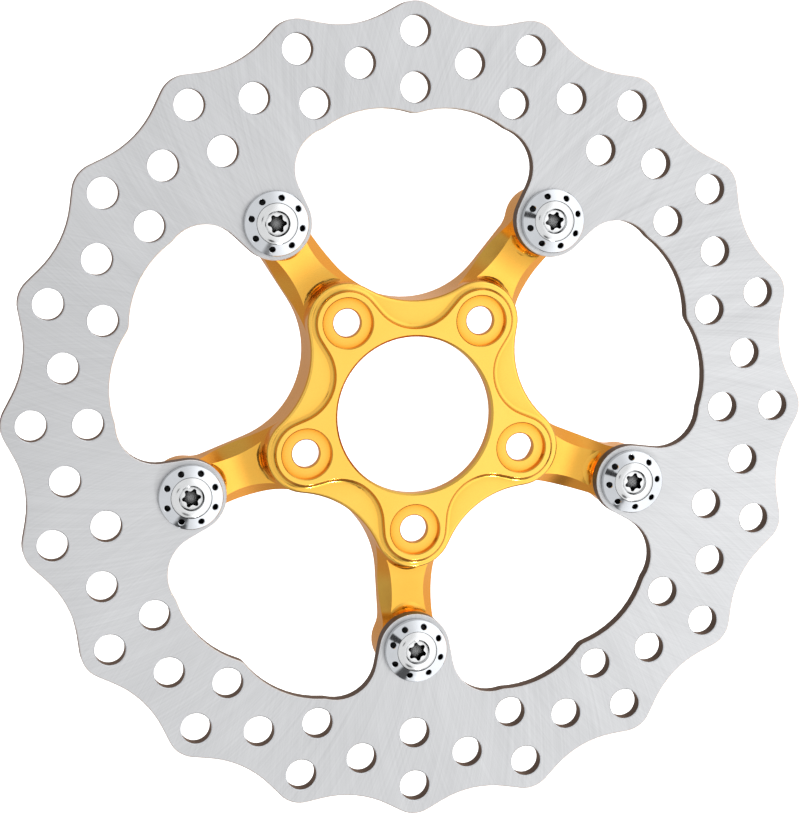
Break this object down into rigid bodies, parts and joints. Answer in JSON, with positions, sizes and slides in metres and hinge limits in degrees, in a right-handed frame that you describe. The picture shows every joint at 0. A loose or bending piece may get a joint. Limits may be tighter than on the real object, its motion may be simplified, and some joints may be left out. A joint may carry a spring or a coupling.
{
  "type": "floating brake disc rotor",
  "caption": "Floating brake disc rotor: a drilled disc with a lobed rim, carried by drive buttons on a gold anodised star-shaped carrier with a recessed hub flange",
  "frame": {"origin": "centre of the pilot bore, on the back of the hub flange, the face that sits on the wheel hub", "axes": "+Z along the rotor's axis towards the outer face; one arm points along -Y; +X to the right seen from outside"},
  "size_m": [0.292, 0.292, 0.0263],
  "materials": {
    "disc_steel": "stainless steel, faces ground in fine lines, drilled holes and edges lightly bevelled",
    "gold_anodise": "machined billet, polished and anodised gold",
    "button_steel": "turned and polished",
    "screw_steel": "bright plated",
    "shim_steel": "plain stainless washer",
    "spring_steel": "tempered spring steel"
  },
  "bodies": {
    "carrier": {"carrier": "gold_anodise", "button_cap_1": "button_steel", "button_cap_2": "button_steel", "button_cap_3": "button_steel", "button_cap_4": "button_steel", "button_cap_5": "button_steel", "button_screw_1": "screw_steel", "button_screw_2": "screw_steel", "button_screw_3": "screw_steel", "button_screw_4": "screw_steel", "button_screw_5": "screw_steel", "wave_washer_1": "spring_steel", "wave_washer_2": "spring_steel", "wave_washer_3": "spring_steel", "wave_washer_4": "spring_steel", "wave_washer_5": "spring_steel"},
    "float_washers": {"shim_washer_1": "shim_steel", "shim_washer_2": "shim_steel", "shim_washer_3": "shim_steel", "shim_washer_4": "shim_steel", "shim_washer_5": "shim_steel"},
    "disc": {"brake_disc": "disc_steel"}
  },
  "joints": [
    {"name": "disc_float", "type": "slide", "parent": "carrier", "child": "float_washers", "axis": [0, 0, 1], "range_m": [-0.0004, 0], "stiffness_N_per_m": 200000, "springref_m": 0.0004, "deforming": ["wave_washer_1", "wave_washer_2", "wave_washer_3", "wave_washer_4", "wave_washer_5"]},
    {"name": "disc_lash", "type": "hinge", "parent": "float_washers", "child": "disc", "pos_m": [0, 0, 0.0022], "axis": [0, 0, 1], "range_deg": [-0.08, 0.08]}
  ]
}
